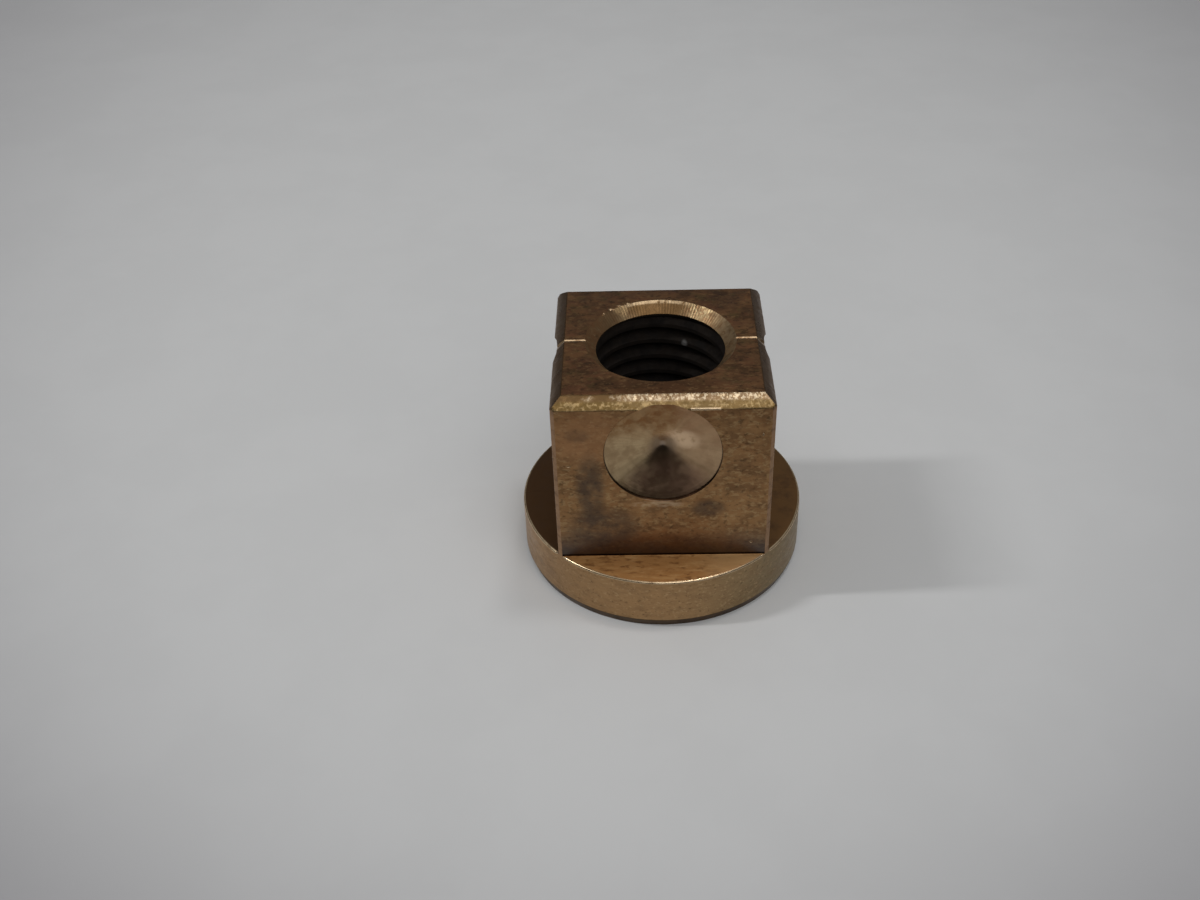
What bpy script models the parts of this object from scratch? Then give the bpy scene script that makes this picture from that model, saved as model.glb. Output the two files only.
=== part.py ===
"""Split flange nut: a square bronze block on a round flange, parted in two halves on pins.

The frame's origin is the centre of the flange's underside. +Z runs up the threaded bore.
The nut parts on the plane y = 0: the front half lies towards -Y, the rear half towards +Y.
All lengths are in metres.
"""
import math

import bmesh
import bpy
from mathutils import Matrix, Vector

INCH = 0.0254

# Block and flange, milled and turned from one round bar.
BLOCK_WIDTH = 1.25 * INCH
BAR_RADIUS = 0.02205
FLANGE_THICKNESS = 0.00895
NUT_HEIGHT = 0.03745
TOP_CHAMFER = 0.00165
UNDERSIDE_BEVEL_HEIGHT = 0.0013
UNDERSIDE_BEVEL_INSET = 0.00045
BAR_SIDES = 96

# Internal thread, 7/8-9 UNC, with a 45 degree countersink at both ends.
THREAD_MAJOR_RADIUS = 0.875 * INCH / 2
THREAD_PITCH = INCH / 9
THREAD_DEPTH = 0.54127 * THREAD_PITCH
THREAD_CREST_FLAT = THREAD_PITCH / 4
THREAD_ROOT_FLAT = THREAD_PITCH / 8
THREAD_SIDES = 32
THREAD_START = math.radians(37)
COUNTERSINK_RADIUS = THREAD_MAJOR_RADIUS + 0.0001

# Conical seats, one in the middle of each side of the block.
SEAT_RADIUS = 0.0085
SEAT_WALL = 0.0005
SEAT_DEPTH = 0.0028
SEAT_HEIGHT = 0.028
SEAT_TIP_RADIUS = 0.0001
SEAT_SIDES = 64
SEAT_COUNT = 4

# The pins that keep the halves in line, and the gap between neighbouring pieces.
GAP = 0.0003
PIN_RADIUS = 0.125 * INCH / 2
PIN_LENGTH = 0.75 * INCH
PIN_CHAMFER = 0.0003
PIN_SPACING = 0.031
PIN_HEIGHT = FLANGE_THICKNESS / 2
PIN_SIDES = 40

# Cutters run this far past the faces they open.
OVERRUN = 0.002
REACH = 0.04

BRONZE = ((0.33, 0.19, 0.085), 0.38, 1.0)
STEEL = ((0.56, 0.55, 0.53), 0.30, 1.0)


def clear_scene():
    """Remove every object, so that the model starts from nothing."""
    for thing in list(bpy.data.objects):
        bpy.data.objects.remove(thing, do_unlink=True)


def make_material(name, finish):
    """A plain metal finish from its colour, roughness and metallic value."""
    colour, roughness, metallic = finish
    material = bpy.data.materials.new(name)
    material.use_nodes = True
    shader = material.node_tree.nodes["Principled BSDF"]
    shader.inputs["Base Color"].default_value = (*colour, 1.0)
    shader.inputs["Roughness"].default_value = roughness
    shader.inputs["Metallic"].default_value = metallic
    material.diffuse_color = (*colour, 1.0)
    return material


def add_object(name, mesh_data, material=None):
    """Turn a bmesh into an object in the scene, shaded smooth between its sharp edges."""
    bmesh.ops.recalc_face_normals(mesh_data, faces=mesh_data.faces)
    mesh = bpy.data.meshes.new(name)
    mesh_data.to_mesh(mesh)
    mesh_data.free()
    mesh.shade_smooth()
    mesh.set_sharp_from_angle(angle=math.radians(30))
    thing = bpy.data.objects.new(name, mesh)
    bpy.context.scene.collection.objects.link(thing)
    if material:
        mesh.materials.append(material)
    return thing


def mark_as_cutter(thing):
    """Show a cutter as a wire guide only."""
    thing.hide_render = True
    thing.display_type = "WIRE"
    return thing


def stack_rings(mesh_data, rings):
    """Close a solid from rings of points listed from its lowest to its highest."""
    vertex_rings = [[mesh_data.verts.new(point) for point in ring] for ring in rings]
    count = len(vertex_rings[0])
    for lower, upper in zip(vertex_rings, vertex_rings[1:]):
        for i in range(count):
            j = (i + 1) % count
            mesh_data.faces.new((lower[i], lower[j], upper[j], upper[i]))
    mesh_data.faces.new(reversed(vertex_rings[0]))
    mesh_data.faces.new(vertex_rings[-1])


def circle(radius, height, sides):
    """Points round the Z axis, starting on +X."""
    step = 2 * math.pi / sides
    return [Vector((radius * math.cos(i * step), radius * math.sin(i * step), height))
            for i in range(sides)]


def square(half_width, height):
    """Corners of a square centred on the Z axis."""
    return [Vector((x * half_width, y * half_width, height))
            for x, y in ((1, -1), (1, 1), (-1, 1), (-1, -1))]


def turned_solid(name, outline, sides, placing=Matrix.Identity(4), material=None):
    """A solid turned round Z from (radius, height) pairs, then moved by placing."""
    mesh_data = bmesh.new()
    rings = [circle(radius, height, sides) for radius, height in outline]
    stack_rings(mesh_data, [[placing @ point for point in ring] for ring in rings])
    return add_object(name, mesh_data, material)


def make_bar(name, material):
    """The round bar, bevelled under the flange and longer than the nut is high."""
    outline = [
        (BAR_RADIUS - UNDERSIDE_BEVEL_INSET, 0.0),
        (BAR_RADIUS, UNDERSIDE_BEVEL_HEIGHT),
        (BAR_RADIUS, NUT_HEIGHT + OVERRUN),
    ]
    return turned_solid(name, outline, BAR_SIDES, material=material)


def make_milling_envelope():
    """What milling leaves: a wide slab for the flange under a square block with a chamfered top."""
    half = BLOCK_WIDTH / 2
    steps = [
        (REACH, -OVERRUN),
        (REACH, FLANGE_THICKNESS),
        (half, FLANGE_THICKNESS),
        (half, NUT_HEIGHT - TOP_CHAMFER),
        (half - TOP_CHAMFER, NUT_HEIGHT),
    ]
    mesh_data = bmesh.new()
    stack_rings(mesh_data, [square(width, height) for width, height in steps])
    return mark_as_cutter(add_object("milling_envelope", mesh_data))


def thread_profile():
    """One pitch of the tap's outline, as (radius, height) from a root's start to the next one."""
    minor = THREAD_MAJOR_RADIUS - THREAD_DEPTH
    flank = (THREAD_PITCH - THREAD_CREST_FLAT - THREAD_ROOT_FLAT) / 2
    return [
        (THREAD_MAJOR_RADIUS, 0.0),
        (THREAD_MAJOR_RADIUS, THREAD_ROOT_FLAT),
        (minor, THREAD_ROOT_FLAT + flank),
        (minor, THREAD_ROOT_FLAT + flank + THREAD_CREST_FLAT),
    ]


def close_tap_end(mesh_data, edge_turn, seam):
    """Close one end of the screw with a fan from a point on its axis to its last turn."""
    middle = sum(vertex.co.z for vertex in edge_turn) / len(edge_turn)
    centre = mesh_data.verts.new((0.0, 0.0, middle))
    for here, ahead in zip(edge_turn, edge_turn[1:]):
        mesh_data.faces.new((here, ahead, centre))
    step_up = list(seam) + [edge_turn[-1]]
    for lower, upper in zip(step_up, step_up[1:]):
        mesh_data.faces.new((lower, upper, centre))


def make_tap():
    """A right-hand screw that cuts the thread, longer than the bore at both ends."""
    profile = thread_profile()
    turns = math.ceil((NUT_HEIGHT + 2 * OVERRUN) / THREAD_PITCH) + 2
    stations = turns * THREAD_SIDES
    start = -OVERRUN - THREAD_PITCH
    step = 2 * math.pi / THREAD_SIDES
    mesh_data = bmesh.new()
    strands = []
    for station in range(stations + THREAD_SIDES + 1):
        climb = start + THREAD_PITCH * station / THREAD_SIDES
        angle = THREAD_START + (station % THREAD_SIDES) * step
        strands.append([
            mesh_data.verts.new((radius * math.cos(angle), radius * math.sin(angle), climb + height))
            for radius, height in profile
        ])
    for station in range(stations):
        column = strands[station] + [strands[station + THREAD_SIDES][0]]
        next_column = strands[station + 1] + [strands[station + THREAD_SIDES + 1][0]]
        for k in range(len(profile)):
            mesh_data.faces.new((column[k], next_column[k], next_column[k + 1], column[k + 1]))
    for first in (0, stations):
        edge_turn = [strand[0] for strand in strands[first:first + THREAD_SIDES + 1]]
        close_tap_end(mesh_data, edge_turn, strands[first])
    loose = [vertex for vertex in mesh_data.verts if not vertex.link_faces]
    bmesh.ops.delete(mesh_data, geom=loose, context="VERTS")
    return mark_as_cutter(add_object("tap", mesh_data))


def make_countersink(name, face_height, direction):
    """A 45 degree cone cutter that opens the bore at one face."""
    inner = THREAD_MAJOR_RADIUS - 2 * THREAD_DEPTH
    outline = [
        (inner, face_height - direction * (COUNTERSINK_RADIUS - inner)),
        (COUNTERSINK_RADIUS + OVERRUN, face_height + direction * OVERRUN),
    ]
    outline.sort(key=lambda point: point[1])
    return mark_as_cutter(turned_solid(name, outline, BAR_SIDES))


def make_seat_cutter(index):
    """A drill point that sinks one conical seat into a side of the block."""
    face = BLOCK_WIDTH / 2
    outline = [
        (SEAT_RADIUS, -face - OVERRUN),
        (SEAT_RADIUS, -face + SEAT_WALL),
        (SEAT_TIP_RADIUS, -face + SEAT_DEPTH),
    ]
    turn = Matrix.Rotation(index * 2 * math.pi / SEAT_COUNT, 4, "Z")
    placing = turn @ Matrix.Translation((0, 0, SEAT_HEIGHT)) @ Matrix.Rotation(-math.pi / 2, 4, "X")
    return mark_as_cutter(turned_solid(f"seat_cutter_{index}", outline, SEAT_SIDES, placing))


def make_pin_shape(name, side, radius, length, chamfer, material=None):
    """A pin or its hole: a cylinder along Y with chamfered ends, at one side of the bore."""
    end = length / 2
    outline = [
        (radius - chamfer, -end),
        (radius, -end + chamfer),
        (radius, end - chamfer),
        (radius - chamfer, end),
    ]
    placing = Matrix.Translation((side * PIN_SPACING / 2, 0, PIN_HEIGHT))
    placing = placing @ Matrix.Rotation(-math.pi / 2, 4, "X")
    return turned_solid(name, outline, PIN_SIDES, placing, material)


def make_parting_box(name, side):
    """A box that removes everything on one side of the parting plane, and half of the gap."""
    near = -GAP / 2
    far = REACH
    outline = [(-REACH, near), (REACH, near), (REACH, far), (-REACH, far)]
    mesh_data = bmesh.new()
    stack_rings(mesh_data, [[Vector((x, side * y, z)) for x, y in outline]
                            for z in (-OVERRUN, NUT_HEIGHT + OVERRUN)])
    return mark_as_cutter(add_object(name, mesh_data))


def add_boolean(thing, cutter, operation):
    """Cut or trim an object with a closed cutter."""
    modifier = thing.modifiers.new(cutter.name, "BOOLEAN")
    modifier.operation = operation
    modifier.solver = "EXACT"
    modifier.object = cutter


def make_half(name, material, envelope, cutters, parting_box):
    """One half of the nut: the bar milled, bored and drilled, then parted."""
    half = make_bar(name, material)
    add_boolean(half, envelope, "INTERSECT")
    for cutter in cutters:
        add_boolean(half, cutter, "DIFFERENCE")
    add_boolean(half, parting_box, "DIFFERENCE")
    return half


def make_frame(name):
    """An empty at the origin that carries one of the two bodies."""
    holder = bpy.data.objects.new(name, None)
    bpy.context.scene.collection.objects.link(holder)
    return holder


def build():
    """The whole nut: two halves, and the pins that the rear half holds."""
    clear_scene()
    rear_frame = make_frame("rear_half_frame")
    front_frame = make_frame("front_half_frame")

    cutters = [make_tap()]
    cutters.append(make_countersink("countersink_top", NUT_HEIGHT, 1))
    cutters.append(make_countersink("countersink_bottom", 0.0, -1))
    cutters += [make_seat_cutter(index) for index in range(SEAT_COUNT)]

    for label, side in (("left", -1), ("right", 1)):
        hole = make_pin_shape(f"pin_hole_{label}", side, PIN_RADIUS + GAP, PIN_LENGTH + 2 * GAP,
                              PIN_CHAMFER)
        cutters.append(mark_as_cutter(hole))
        steel = make_material(f"steel_{label}", STEEL)
        pin = make_pin_shape(f"dowel_pin_{label}", side, PIN_RADIUS, PIN_LENGTH, PIN_CHAMFER, steel)
        pin.parent = rear_frame

    envelope = make_milling_envelope()
    front = make_half("nut_half_front", make_material("bronze_front", BRONZE), envelope, cutters,
                      make_parting_box("parting_box_rear", 1))
    rear = make_half("nut_half_rear", make_material("bronze_rear", BRONZE), envelope, cutters,
                     make_parting_box("parting_box_front", -1))
    front.parent = front_frame
    rear.parent = rear_frame


build()
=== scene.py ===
import math

import bmesh
import bpy
from mathutils import Matrix, Quaternion, Vector, noise


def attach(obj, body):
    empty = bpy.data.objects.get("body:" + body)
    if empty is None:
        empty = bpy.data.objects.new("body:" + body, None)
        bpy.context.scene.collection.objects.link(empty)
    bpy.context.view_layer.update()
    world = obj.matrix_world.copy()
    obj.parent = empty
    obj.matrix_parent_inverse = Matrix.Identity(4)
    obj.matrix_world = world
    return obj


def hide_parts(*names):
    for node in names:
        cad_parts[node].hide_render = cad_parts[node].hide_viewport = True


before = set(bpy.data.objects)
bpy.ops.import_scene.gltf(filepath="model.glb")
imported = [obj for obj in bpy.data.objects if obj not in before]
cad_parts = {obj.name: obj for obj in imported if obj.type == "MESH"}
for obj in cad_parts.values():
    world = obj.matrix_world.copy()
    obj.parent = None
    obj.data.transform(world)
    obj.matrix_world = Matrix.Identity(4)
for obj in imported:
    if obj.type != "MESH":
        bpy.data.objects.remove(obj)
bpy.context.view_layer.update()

# Lengths are in metres, in the CAD part's own frame: +Z up the bore, the parting plane at y = 0.
MM = 0.001
INCH = 0.0254
X, Y, Z = 0, 1, 2

HALF = 1.25 * INCH / 2
BAR_RADIUS = 0.022045
FLANGE_TOP = 0.00895
HEIGHT = 0.03745
CHAMFER = 0.00165
CHAMFER_FOOT = HEIGHT - CHAMFER
BASE_BEVEL_HEIGHT = 0.0013
BASE_BEVEL_INSET = 0.00045
RIM_BREAK = 0.0003
INNER_FILLET = 0.00008
CORNER_BLEND = 0.00008
CHAMFER_CROWN = 0.00009

# Along the chamfer's lower edge a thin lip of metal is pushed out, and in front a burr rises from
# it between these two places.
LIP_START = 0.0004
LIP_HEIGHT = 0.000012
LIP_RISE = 0.00003
LIP_WAVE = 0.003
BURR = (0.0039, 0.0080)
BURR_HEIGHT = 0.00005

# The cutter's chatter on the chamfer, fine and wide: seed, length along it, waves up it, height.
CHATTER = ((1, 0.0008, 0.6, 0.000018), (9, 0.0035, 1.2, 0.000036))

# A lift square to the chamfer goes this share outwards and this share up.
SLANT = 0.7

THREAD_MAJOR = 0.875 * INCH / 2
THREAD_PITCH = INCH / 9
THREAD_DEPTH = 0.54127 * THREAD_PITCH
THREAD_SIDES = 72
THREAD_START = math.radians(37)
SINK_RADIUS = THREAD_MAJOR + 0.0001

# The thread's groove fades out over this length, which ends this far below the top face.
RUN_OUT_LENGTH = 0.0022
RUN_OUT_END = 0.0017
RUN_OUT_LEAST = 0.03

SEAT_RADIUS = 0.0085
SEAT_WALL = 0.0005
SEAT_DEPTH = 0.0028
SEAT_HEIGHT = 0.028
SEAT_LEDGE = 0.0001
SEAT_FLARE = 0.00005
SEAT_RIPPLE = 0.000006
SEAT_TIP = 0.00012

SINK_RIBS = 144
SINK_RIB_HEIGHT = 0.000022
SINK_WAVER = 0.000012

PIN_RADIUS = 0.125 * INCH / 2
PIN_LENGTH = 0.75 * INCH
PIN_SPACING = 0.031
PIN_HEIGHT = FLANGE_TOP / 2
PIN_BREAK = 0.0003
PIN_HOLE_PLAY = 0.00002
PIN_END_PLAY = 0.0006

PARTING_GAP = 0.00002
OVERRUN = 0.002
REACH = 0.04

# Points closer than these are welded: in the ring stack, and after the cuts.
RING_WELD = 0.000002
CUT_WELD = 0.0000003

SMOOTH_ANGLE = math.radians(30)


# ---------------------------------------------------------------- nodes

def node(tree, kind, inputs=None, **settings):
    """Add one node, set its options, and set or link its inputs by name or number."""
    made = tree.nodes.new(kind)
    for key, value in settings.items():
        setattr(made, key, value)
    for key, value in (inputs or {}).items():
        if isinstance(value, bpy.types.NodeSocket):
            tree.links.new(value, made.inputs[key])
        else:
            made.inputs[key].default_value = value
    return made


def math_node(tree, operation, *values, clamp=False):
    """One Math node's output."""
    made = node(tree, "ShaderNodeMath", dict(enumerate(values)), operation=operation)
    made.use_clamp = clamp
    return made.outputs[0]


def grain(tree, position, stretch, detail, offset):
    """Noise in 0 to 1 with features of the given size in millimetres along X, Y and Z."""
    scale = [1.0 / (size * MM) for size in stretch]
    placed = node(tree, "ShaderNodeMapping",
                  {"Vector": position, "Scale": scale, "Location": (offset, offset, offset)})
    made = node(tree, "ShaderNodeTexNoise",
                {"Vector": placed.outputs[0], "Scale": 1.0, "Detail": detail, "Roughness": 0.6})
    return made.outputs["Fac"]


def lines(tree, value, scale, detail):
    """Noise along one value alone, which draws rings or rays."""
    made = node(tree, "ShaderNodeTexNoise",
                {"W": math_node(tree, "MULTIPLY", value, scale), "Scale": 1.0, "Detail": detail},
                noise_dimensions="1D")
    return made.outputs["Fac"]


def band(tree, value, low, high):
    """0 at low, 1 at high, and smooth between."""
    made = node(tree, "ShaderNodeMapRange", {"Value": value, "From Min": low, "From Max": high},
                interpolation_type="SMOOTHSTEP")
    return made.outputs[0]


def blend_colours(tree, amount, first, second, mode):
    """Mix two colours by an amount."""
    made = node(tree, "ShaderNodeMix", data_type="RGBA", blend_type=mode)
    for key, value in ((0, amount), (6, first), (7, second)):
        if isinstance(value, bpy.types.NodeSocket):
            tree.links.new(value, made.inputs[key])
        else:
            made.inputs[key].default_value = (*value, 1.0)
    return made.outputs[2]


def spot(tree, parts, centre, size, softness):
    """1 inside an ellipsoid and 0 outside, with a soft edge. A size of None leaves an axis out."""
    total = None
    for part, middle, reach in zip(parts, centre, size):
        if reach is None:
            continue
        away = math_node(tree, "MULTIPLY", math_node(tree, "SUBTRACT", part, middle), 1.0 / reach)
        square = math_node(tree, "MULTIPLY", away, away)
        total = square if total is None else math_node(tree, "ADD", total, square)
    return band(tree, total, 1.0 + softness, 1.0 - softness)


def polar(tree, across, up):
    """Radius and angle of a point in a plane."""
    radius = math_node(tree, "SQRT", math_node(
        tree, "ADD", math_node(tree, "MULTIPLY", across, across),
        math_node(tree, "MULTIPLY", up, up)))
    return radius, math_node(tree, "ARCTAN2", up, across)


class Metal:
    """A surface finish built up from layers: colour, roughness and fine relief."""

    def __init__(self, name, roughness, metallic=1.0):
        self.material = bpy.data.materials.new(name)
        self.material.use_nodes = True
        self.tree = self.material.node_tree
        self.shader = self.tree.nodes["Principled BSDF"]
        self.shader.inputs["Metallic"].default_value = metallic
        place = node(self.tree, "ShaderNodeTexCoord")
        self.position = place.outputs["Object"]
        split = node(self.tree, "ShaderNodeSeparateXYZ", {0: self.position})
        self.parts = [split.outputs[0], split.outputs[1], split.outputs[2]]
        self.colour = None
        self.roughness = roughness
        self.normal = None

    def grain(self, stretch, low=0.35, high=0.65, offset=0.0):
        """A noise mask between two levels, with features of a size in millimetres."""
        value = grain(self.tree, self.position, stretch, 4.0, offset)
        return band(self.tree, value, low, high)

    def ramp(self, axis, low, high):
        """A mask along one axis: 0 at low, 1 at high, in metres."""
        return band(self.tree, self.parts[axis], low, high)

    def spot(self, centre, size, softness):
        """A soft ellipsoid mask, its centre and reach in millimetres."""
        return spot(self.tree, self.parts, [c * MM for c in centre],
                    [None if s is None else s * MM for s in size], softness)

    def overlap(self, first, *others):
        """Several masks or strengths multiplied."""
        for other in others:
            first = math_node(self.tree, "MULTIPLY", first, other)
        return first

    def paint(self, colour, *masks, mode="MIX"):
        """Lay a colour over what is there, where all the masks overlap."""
        if self.colour is None:
            self.colour = node(self.tree, "ShaderNodeRGB").outputs[0]
            self.colour.default_value = (*colour, 1.0)
        else:
            self.colour = blend_colours(self.tree, self.overlap(*masks), self.colour, colour, mode)

    def roughen(self, amount, mask):
        """Add to the roughness where the mask is 1."""
        step = math_node(self.tree, "MULTIPLY", mask, amount)
        self.roughness = math_node(self.tree, "ADD", self.roughness, step, clamp=True)

    def smudge(self, amount, stretch, offset=8.0):
        """Uneven roughness, from handling."""
        self.roughen(amount, self.grain(stretch, offset=offset))

    def relief(self, height, depth):
        """Bump a height field of the given depth in metres."""
        inputs = {"Height": height, "Distance": depth, "Strength": 1.0}
        if self.normal is not None:
            inputs["Normal"] = self.normal
        self.normal = node(self.tree, "ShaderNodeBump", inputs).outputs[0]

    def lay(self, stretch, depth, offset=0.0):
        """Tool marks or pitting: stretched noise as relief."""
        self.relief(grain(self.tree, self.position, stretch, 3.0, offset), depth)

    def finish(self):
        """Connect the layers and give the material."""
        links = self.tree.links
        links.new(self.colour, self.shader.inputs["Base Color"])
        if isinstance(self.roughness, bpy.types.NodeSocket):
            links.new(self.roughness, self.shader.inputs["Roughness"])
        else:
            self.shader.inputs["Roughness"].default_value = self.roughness
        if self.normal is not None:
            links.new(self.normal, self.shader.inputs["Normal"])
        return self.material


# ------------------------------------------------------------ materials

# Colours are linear RGB.
PATINA = (0.21, 0.115, 0.055)
PATINA_DARK = (0.12, 0.065, 0.034)
PATINA_RED = (0.27, 0.125, 0.05)
GOLD = (0.48, 0.29, 0.13)
# Dark grease; on the seats it is also painted shade in the step round the wall.
GREASE_AND_SHADE = (0.05, 0.03, 0.018)

# Places of marks, as centre and reach in millimetres.
TOP_FRONT_MIDDLE = ((0, -12.6, 37), (7.5, 2.6, None))
FLAT_UPPER_LEFT = ((-10.5, -15.9, 31.0), (5.5, 2.0, 4.5))
BELOW_SEAT = ((-0.9, -15.9, 18.9), (3.4, 2.0, 0.55))
SINK_REAR = ((-0.5, 11.0, 37), (5.5, 2.5, None))
SINK_REAR_LEFT = ((-8.5, 6.5, 37), (3.0, 3.0, None))
SINK_KNOCK_HIGHLIGHT = ((-6.2, 9.3, 37), (1.2, 0.9, None))
SINK_REAR_RIGHT = ((6.7, 8.9, 37), (2.1, 1.8, None))
SINK_REAR_LIP = ((-1.0, 11.5, 37), (6.5, 2.5, None))
THREAD_GLINT = ((3.9, 9.3, 31.0), (0.45, 1.4, 0.4))

# Stains on the front flat: centre and reach in millimetres, then strength.
FRONT_STAINS = (
    ((-10.6, -15.9, 22.0), (1.9, 2.0, 5.6), 0.80),
    ((-8.8, -15.9, 14.5), (5.0, 2.0, 3.4), 0.80),
    ((6.6, -15.9, 18.0), (2.3, 2.0, 1.5), 0.70),
    ((-12.2, -15.9, 31.5), (1.6, 2.0, 1.2), 0.4),
)


def milled_top():
    """The top face: dark brown, with the fine straight marks of its milling."""
    brown = (0.30, 0.150, 0.067)
    shade = (0.15, 0.078, 0.037)
    red = (0.30, 0.13, 0.065)
    olive = (0.21, 0.145, 0.055)
    smudge = (0.15, 0.072, 0.034)
    metal = Metal("bronze_top_face", 0.30)
    metal.paint(brown)
    metal.paint(shade, metal.grain((4, 3, 5), 0.42, 0.66))
    metal.paint(red, metal.grain((3, 2, 3), 0.48, 0.66, offset=6.0), 0.6)
    metal.paint(olive, metal.grain((2.5, 2, 2), 0.50, 0.68, offset=17.0), 0.5)
    metal.paint(smudge, metal.spot(*TOP_FRONT_MIDDLE, 0.8), 0.8)
    metal.paint(GOLD, metal.grain((0.8, 0.45, 1), 0.52, 0.66, offset=3.0), 0.42)
    metal.paint(GREASE_AND_SHADE, metal.grain((0.8, 0.5, 1), 0.52, 0.68, offset=13.0), 0.6)
    metal.smudge(0.16, (2.5, 1.5, 2), offset=7.0)
    metal.lay((9, 0.12, 9), 0.000004)
    metal.lay((0.35, 0.3, 0.35), 0.000006, offset=5.0)
    return metal.finish()


def milled_side():
    """The four flats: milled along their length, browned and stained, with painted shade towards
    the foot and in the crease at the flange, and a painted highlight below the seat.
    """
    brown = (0.36, 0.20, 0.088)
    speck = (0.42, 0.27, 0.13)
    ruddy = (0.44, 0.225, 0.105)
    stain = (0.085, 0.062, 0.048)
    shade = (0.078, 0.066, 0.062)
    highlight_smear = (0.60, 0.44, 0.28)
    black = (0.012, 0.008, 0.006)
    metal = Metal("bronze_flat", 0.34)
    metal.paint(brown)
    metal.paint(PATINA_DARK, metal.grain((3, 3, 2.2), 0.42, 0.68), 0.55)
    metal.paint(PATINA_RED, metal.grain((5, 5, 3), 0.48, 0.70, offset=11.0), 0.5)
    metal.paint(speck, metal.grain((0.9, 0.9, 0.5), 0.50, 0.64, offset=4.0), 0.8)
    metal.paint(GREASE_AND_SHADE, metal.grain((0.8, 0.8, 0.6), 0.52, 0.70, offset=14.0), 0.5)
    metal.paint(ruddy, metal.spot(*FLAT_UPPER_LEFT, 0.9), 0.55)
    for centre, size, strength in FRONT_STAINS:
        metal.paint(stain, metal.spot(centre, size, 0.9),
                    metal.grain((2.4, 2.4, 2.4), 0.1, 0.6, offset=9.0), strength)
    # Painted shade: the flats darken towards their foot, near the flange.
    metal.paint(shade, metal.ramp(Z, 0.0155, 0.0092), 0.9)
    # Painted highlight: a light patch on the front flat just below the seat.
    metal.paint(highlight_smear, metal.spot(*BELOW_SEAT, 0.8),
                metal.grain((1.2, 1.2, 0.6), 0.35, 0.60, offset=71.0), 0.7)
    # Painted shade: near black in the crease where the flats meet the flange.
    metal.paint(black, metal.ramp(Z, FLANGE_TOP + 0.0006, FLANGE_TOP + 0.00025))
    metal.smudge(0.14, (3, 3, 1))
    metal.lay((9, 9, 0.10), 0.000006)
    metal.lay((0.5, 0.5, 0.4), 0.000008, offset=5.0)
    return metal.finish()


def chamfer_finish():
    """The chamfers: bright from the cutter in front, with a painted highlight along their upper
    part and painted shade towards the left; darker and browner at the sides and low down.
    """
    brown = (0.30, 0.20, 0.115)
    shade = (0.17, 0.10, 0.045)
    bright = (0.62, 0.47, 0.29)
    tooth_highlight = (0.80, 0.66, 0.46)
    left_brown = (0.14, 0.082, 0.035)
    low_brown = (0.135, 0.085, 0.030)
    low_gold = (0.29, 0.20, 0.095)
    foot_gold = (0.20, 0.13, 0.06)
    side_brown = (0.165, 0.086, 0.028)
    metal = Metal("bronze_chamfer", 0.27)
    metal.paint(brown)
    metal.paint(shade, metal.grain((1.0, 1.0, 0.6), 0.40, 0.64), 0.85)
    metal.paint(bright, metal.grain((0.45, 0.45, 0.9), 0.55, 0.66, offset=3.0))
    # Painted highlight: light teeth along the upper part of the chamfers.
    upper = metal.ramp(Z, HEIGHT - 0.50 * CHAMFER, HEIGHT - 0.30 * CHAMFER)
    metal.paint(tooth_highlight, upper, metal.grain((0.4, 0.4, 2.0), 0.48, 0.60, offset=35.0), 0.6)
    # Painted shade: darker towards the left.
    metal.paint(left_brown, metal.ramp(X, -0.0040, -0.0075),
                metal.grain((1.6, 1.6, 1.2), 0.15, 0.50, offset=5.0))
    low = metal.ramp(Z, HEIGHT - 0.30 * CHAMFER, HEIGHT - 0.52 * CHAMFER)
    metal.paint(low_brown, low, 0.85)
    metal.paint(low_gold, low, metal.grain((0.6, 0.6, 0.6), 0.50, 0.62, offset=25.0))
    foot = metal.ramp(Z, HEIGHT - 0.90 * CHAMFER, HEIGHT - 0.98 * CHAMFER)
    metal.paint(foot_gold, foot, 0.8)
    across = math_node(metal.tree, "ABSOLUTE", metal.parts[X])
    along = math_node(metal.tree, "ABSOLUTE", metal.parts[Y])
    sides = band(metal.tree, math_node(metal.tree, "SUBTRACT", across, along), -0.0001, 0.0001)
    metal.paint(side_brown, sides, 0.92)
    metal.smudge(0.12, (1.2, 1.2, 0.8))
    metal.lay((0.35, 0.35, 4), 0.000006)
    return metal.finish()


def strip_finish():
    """The narrow strips of the turned bar that are left at the block's corners."""
    brown = (0.36, 0.215, 0.12)
    metal = Metal("bronze_corner_strip", 0.36)
    metal.paint(brown)
    metal.paint(PATINA_DARK, metal.grain((2, 2, 1.5), 0.46, 0.70), 0.6)
    metal.paint(GOLD, metal.grain((0.6, 0.6, 0.8), 0.54, 0.72, offset=4.0), 0.5)
    metal.smudge(0.14, (2, 2, 0.6))
    metal.lay((9, 9, 0.09), 0.000005)
    metal.lay((0.4, 0.4, 0.4), 0.000006, offset=5.0)
    return metal.finish()


def rim_finish():
    """The turned outside of the flange: warm on the left, greener on the right, where painted
    shade also makes it darker.
    """
    warm = (0.42, 0.255, 0.122)
    green_and_shade = (0.29, 0.21, 0.11)
    brown = (0.28, 0.17, 0.085)
    speck = (0.60, 0.42, 0.22)
    metal = Metal("bronze_rim", 0.34)
    metal.paint(warm)
    # Greener to the right, and darker there as painted shade.
    metal.paint(green_and_shade, metal.ramp(X, -0.001, 0.018))
    metal.paint(brown, metal.grain((2, 2, 1), 0.42, 0.68), 0.5)
    metal.paint(speck, metal.grain((0.6, 0.6, 0.4), 0.54, 0.68, offset=4.0), 0.45)
    metal.paint(GREASE_AND_SHADE, metal.grain((0.5, 0.5, 0.4), 0.56, 0.72, offset=14.0), 0.5)
    metal.smudge(0.12, (2, 2, 0.6))
    metal.lay((9, 9, 0.09), 0.000005)
    metal.lay((0.5, 0.5, 0.3), 0.000004, offset=5.0)
    return metal.finish()


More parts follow.
